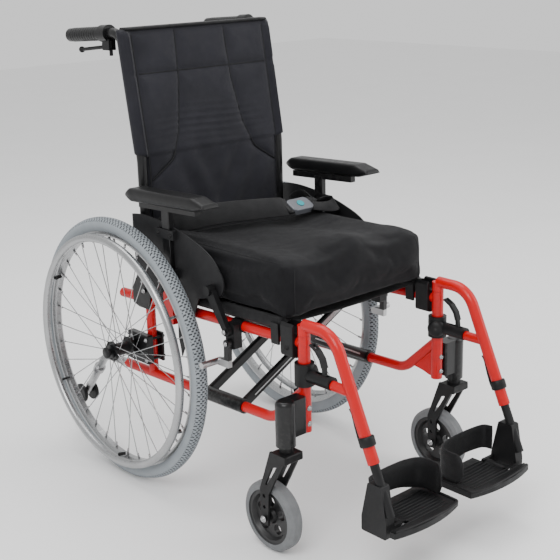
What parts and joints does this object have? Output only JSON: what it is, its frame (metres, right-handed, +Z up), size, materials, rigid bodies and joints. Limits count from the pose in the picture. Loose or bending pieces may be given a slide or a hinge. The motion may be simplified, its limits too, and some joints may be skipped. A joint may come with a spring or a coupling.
{
  "type": "folding manual wheelchair",
  "caption": "Folding manual wheelchair with spoked rear wheels, casters, swing-away leg rests, flip-up footplates, cushion and padded back.",
  "frame": {"origin": "middle of the overall box, on the floor", "axes": "+X towards the sitter's left, +Y towards the back, +Z up"},
  "size_m": [0.61, 1.1061, 1.0214],
  "materials": {
    "frame_red": "gloss",
    "black_metal": "satin",
    "grip_rubber": "satin",
    "black_plastic": "satin",
    "pad_vinyl": "satin",
    "panel_plastic": "matte",
    "bare_aluminium": "satin",
    "tyre_grey": "matte",
    "rim_silver": "polished",
    "spoke_steel": "polished",
    "caster_grey": "matte",
    "bare_steel": "satin",
    "webbing": "matte",
    "cover_fabric": "matte",
    "buckle_plastic": "gloss",
    "button_teal": "gloss"
  },
  "bodies": {
    "right_side": {"right_side_frame": "frame_red", "right_axle_mount": "black_metal", "right_back_post": "black_metal", "right_handle_grip": "grip_rubber", "right_brake_body": "black_metal", "right_caster_housing": "black_metal", "back_upholstery": "cover_fabric"},
    "right_wheel": {"right_wheel_tyre": "tyre_grey", "right_wheel_rim": "rim_silver", "right_wheel_spokes": "spoke_steel", "right_wheel_handrim": "rim_silver"},
    "right_caster": {"right_caster_fork": "black_metal"},
    "right_caster_roll": {"right_caster_wheel": "caster_grey"},
    "right_armrest": {"right_armrest_post": "black_metal", "right_armrest_pad": "pad_vinyl", "right_side_panel": "panel_plastic"},
    "right_brake_handle": {"right_brake_lever": "black_plastic"},
    "right_brake_arm": {"right_brake_shoe": "bare_aluminium"},
    "right_push_lever": {"right_attendant_lever": "black_plastic"},
    "right_hanger": {"right_hanger_tube": "frame_red", "right_hanger_latch": "black_plastic"},
    "right_hanger_release": {"right_hanger_lever": "black_metal"},
    "right_leg": {"right_footplate_stem": "black_metal"},
    "right_plate_carrier": {"right_footplate_pin": "bare_steel"},
    "right_plate": {"right_footplate": "black_plastic", "right_heel_loop": "webbing"},
    "left_side": {"left_side_frame": "frame_red", "left_axle_mount": "black_metal", "left_back_post": "black_metal", "left_handle_grip": "grip_rubber", "left_brake_body": "black_metal", "left_caster_housing": "black_metal"},
    "left_wheel": {"left_wheel_tyre": "tyre_grey", "left_wheel_rim": "rim_silver", "left_wheel_spokes": "spoke_steel", "left_wheel_handrim": "rim_silver"},
    "left_caster": {"left_caster_fork": "black_metal"},
    "left_caster_roll": {"left_caster_wheel": "caster_grey"},
    "left_armrest": {"left_armrest_post": "black_metal", "left_armrest_pad": "pad_vinyl", "left_side_panel": "panel_plastic"},
    "left_brake_handle": {"left_brake_lever": "black_plastic"},
    "left_brake_arm": {"left_brake_shoe": "bare_aluminium"},
    "left_push_lever": {"left_attendant_lever": "black_plastic"},
    "left_hanger": {"left_hanger_tube": "frame_red", "left_hanger_latch": "black_plastic"},
    "left_hanger_release": {"left_hanger_lever": "black_metal"},
    "left_leg": {"left_footplate_stem": "black_metal"},
    "left_plate_carrier": {"left_footplate_pin": "bare_steel"},
    "left_plate": {"left_footplate": "black_plastic", "left_heel_loop": "webbing"},
    "cross_a": {"cross_brace_a": "black_metal"},
    "cross_b": {"cross_brace_b": "black_metal"},
    "seat": {"seat_sling": "webbing", "cushion": "cover_fabric", "lap_belt": "webbing", "belt_buckle": "buckle_plastic"},
    "button": {"buckle_button": "button_teal"},
    "antitip": {"antitip_tube": "bare_aluminium"},
    "antitip_roll": {"antitip_wheels": "black_plastic"}
  },
  "joints": [
    {"name": "fold", "type": "hinge", "parent": "right_side", "child": "cross_a", "pos_m": [-0.1995, -0.0445, 0.24799], "axis": [0, -0.9995, 0.0318], "range_deg": [0, 47], "deforming": ["seat_sling", "cushion", "lap_belt", "back_upholstery"]},
    {"name": "cross_scissor", "type": "hinge", "parent": "cross_a", "child": "cross_b", "pos_m": [0, -0.0445, 0.35249], "axis": [0, -0.9995, 0.0318], "range_deg": [-94, 0]},
    {"name": "left_side_level", "type": "hinge", "parent": "cross_b", "child": "left_side", "pos_m": [0.1995, -0.0445, 0.24799], "axis": [0, -0.9995, 0.0318], "range_deg": [0, 47]},
    {"name": "seat_level", "type": "hinge", "parent": "cross_a", "child": "seat", "pos_m": [0.1995, -0.0445, 0.45699], "axis": [0, -0.9995, 0.0318], "range_deg": [-47, 0]},
    {"name": "right_wheel_spin", "type": "hinge", "parent": "right_side", "child": "right_wheel", "pos_m": [-0.2623, 0.2475, 0.305], "axis": [1, 0, 0], "continuous": true},
    {"name": "right_caster_swivel", "type": "hinge", "parent": "right_side", "child": "right_caster", "pos_m": [-0.2556, -0.2985, 0.24], "axis": [0, 0, 1], "continuous": true},
    {"name": "right_caster_spin", "type": "hinge", "parent": "right_caster", "child": "right_caster_roll", "pos_m": [-0.2556, -0.2562, 0.075], "axis": [1, 0, 0], "continuous": true},
    {"name": "right_armrest_height", "type": "slide", "parent": "right_side", "child": "right_armrest", "axis": [0, 0, 1], "range_m": [0, 0.05]},
    {"name": "right_brake_lever_turn", "type": "hinge", "parent": "right_side", "child": "right_brake_handle", "pos_m": [-0.2345, -0.1045, 0.424], "axis": [1, 0, 0], "range_deg": [0, 60]},
    {"name": "right_brake_shoe_turn", "type": "hinge", "parent": "right_side", "child": "right_brake_arm", "pos_m": [-0.2345, -0.1045, 0.398], "axis": [1, 0, 0], "range_deg": [0, 24]},
    {"name": "right_push_lever_squeeze", "type": "hinge", "parent": "right_side", "child": "right_push_lever", "pos_m": [-0.1995, 0.3145, 0.97456], "axis": [1, 0, 0], "range_deg": [0, 5], "stiffness_Nm_per_rad": 1, "springref_deg": -5.73},
    {"name": "right_hanger_swing", "type": "hinge", "parent": "right_side", "child": "right_hanger", "pos_m": [-0.1995, -0.2955, 0.454], "axis": [0, 0, -1], "range_deg": [0, 90]},
    {"name": "right_hanger_lever_pull", "type": "hinge", "parent": "right_hanger", "child": "right_hanger_release", "pos_m": [-0.1995, -0.3525, 0.385], "axis": [1, 0, 0], "range_deg": [0, 25], "stiffness_Nm_per_rad": 0.3, "springref_deg": -5.73},
    {"name": "right_leg_length", "type": "slide", "parent": "right_hanger", "child": "right_leg", "axis": [0, -0.4105, -0.9118], "range_m": [0, 0.05]},
    {"name": "right_plate_fold", "type": "hinge", "parent": "right_leg", "child": "right_plate_carrier", "pos_m": [-0.165, -0.4925, 0.118], "axis": [0, -1, 0], "range_deg": [0, 94]},
    {"name": "right_plate_flip", "type": "hinge", "parent": "right_plate_carrier", "child": "right_plate", "pos_m": [-0.165, -0.4925, 0.118], "axis": [0, 1, 0], "range_deg": [-94, 0], "deforming": ["right_heel_loop"]},
    {"name": "left_wheel_spin", "type": "hinge", "parent": "left_side", "child": "left_wheel", "pos_m": [0.2623, 0.2475, 0.305], "axis": [1, 0, 0], "continuous": true},
    {"name": "left_caster_swivel", "type": "hinge", "parent": "left_side", "child": "left_caster", "pos_m": [0.2556, -0.2985, 0.24], "axis": [0, 0, 1], "continuous": true},
    {"name": "left_caster_spin", "type": "hinge", "parent": "left_caster", "child": "left_caster_roll", "pos_m": [0.2556, -0.2562, 0.075], "axis": [1, 0, 0], "continuous": true},
    {"name": "left_armrest_height", "type": "slide", "parent": "left_side", "child": "left_armrest", "axis": [0, 0, 1], "range_m": [0, 0.05]},
    {"name": "left_brake_lever_turn", "type": "hinge", "parent": "left_side", "child": "left_brake_handle", "pos_m": [0.2345, -0.1045, 0.424], "axis": [1, 0, 0], "range_deg": [0, 60]},
    {"name": "left_brake_shoe_turn", "type": "hinge", "parent": "left_side", "child": "left_brake_arm", "pos_m": [0.2345, -0.1045, 0.398], "axis": [1, 0, 0], "range_deg": [0, 24]},
    {"name": "left_push_lever_squeeze", "type": "hinge", "parent": "left_side", "child": "left_push_lever", "pos_m": [0.1995, 0.3145, 0.97456], "axis": [1, 0, 0], "range_deg": [0, 5], "stiffness_Nm_per_rad": 1, "springref_deg": -5.73},
    {"name": "left_hanger_swing", "type": "hinge", "parent": "left_side", "child": "left_hanger", "pos_m": [0.1995, -0.2955, 0.454], "axis": [0, 0, 1], "range_deg": [0, 90]},
    {"name": "left_hanger_lever_pull", "type": "hinge", "parent": "left_hanger", "child": "left_hanger_release", "pos_m": [0.1995, -0.3525, 0.385], "axis": [1, 0, 0], "range_deg": [0, 25], "stiffness_Nm_per_rad": 0.3, "springref_deg": -5.73},
    {"name": "left_leg_length", "type": "slide", "parent": "left_hanger", "child": "left_leg", "axis": [0, -0.4105, -0.9118], "range_m": [0, 0.05]},
    {"name": "left_plate_fold", "type": "hinge", "parent": "left_leg", "child": "left_plate_carrier", "pos_m": [0.165, -0.4925, 0.118], "axis": [0, 1, 0], "range_deg": [0, 94]},
    {"name": "left_plate_flip", "type": "hinge", "parent": "left_plate_carrier", "child": "left_plate", "pos_m": [0.165, -0.4925, 0.118], "axis": [0, -1, 0], "range_deg": [-94, 0], "deforming": ["left_heel_loop"]},
    {"name": "antitip_turn", "type": "hinge", "parent": "right_side", "child": "antitip", "pos_m": [-0.1995, 0.3155, 0.23654], "axis": [0, -0.9995, 0.0318], "range_deg": [0, 180]},
    {"name": "antitip_spin", "type": "hinge", "parent": "antitip", "child": "antitip_roll", "pos_m": [-0.1995, 0.5095, 0.108], "axis": [1, 0, 0], "continuous": true},
    {"name": "button_press", "type": "slide", "parent": "seat", "child": "button", "axis": [0, 0.4695, -0.8829], "range_m": [0, 0.002], "stiffness_N_per_m": 600, "springref_m": -0.001}
  ],
  "couplings": [
    {"joint": "cross_scissor", "follows": "fold", "ratio": -2},
    {"joint": "left_side_level", "follows": "fold", "ratio": 1},
    {"joint": "seat_level", "follows": "fold", "ratio": -1},
    {"joint": "right_brake_shoe_turn", "follows": "right_brake_lever_turn", "ratio": 0.4},
    {"joint": "right_plate_fold", "follows": "fold", "ratio": 2},
    {"joint": "left_brake_shoe_turn", "follows": "left_brake_lever_turn", "ratio": 0.4},
    {"joint": "left_plate_fold", "follows": "fold", "ratio": 2}
  ]
}
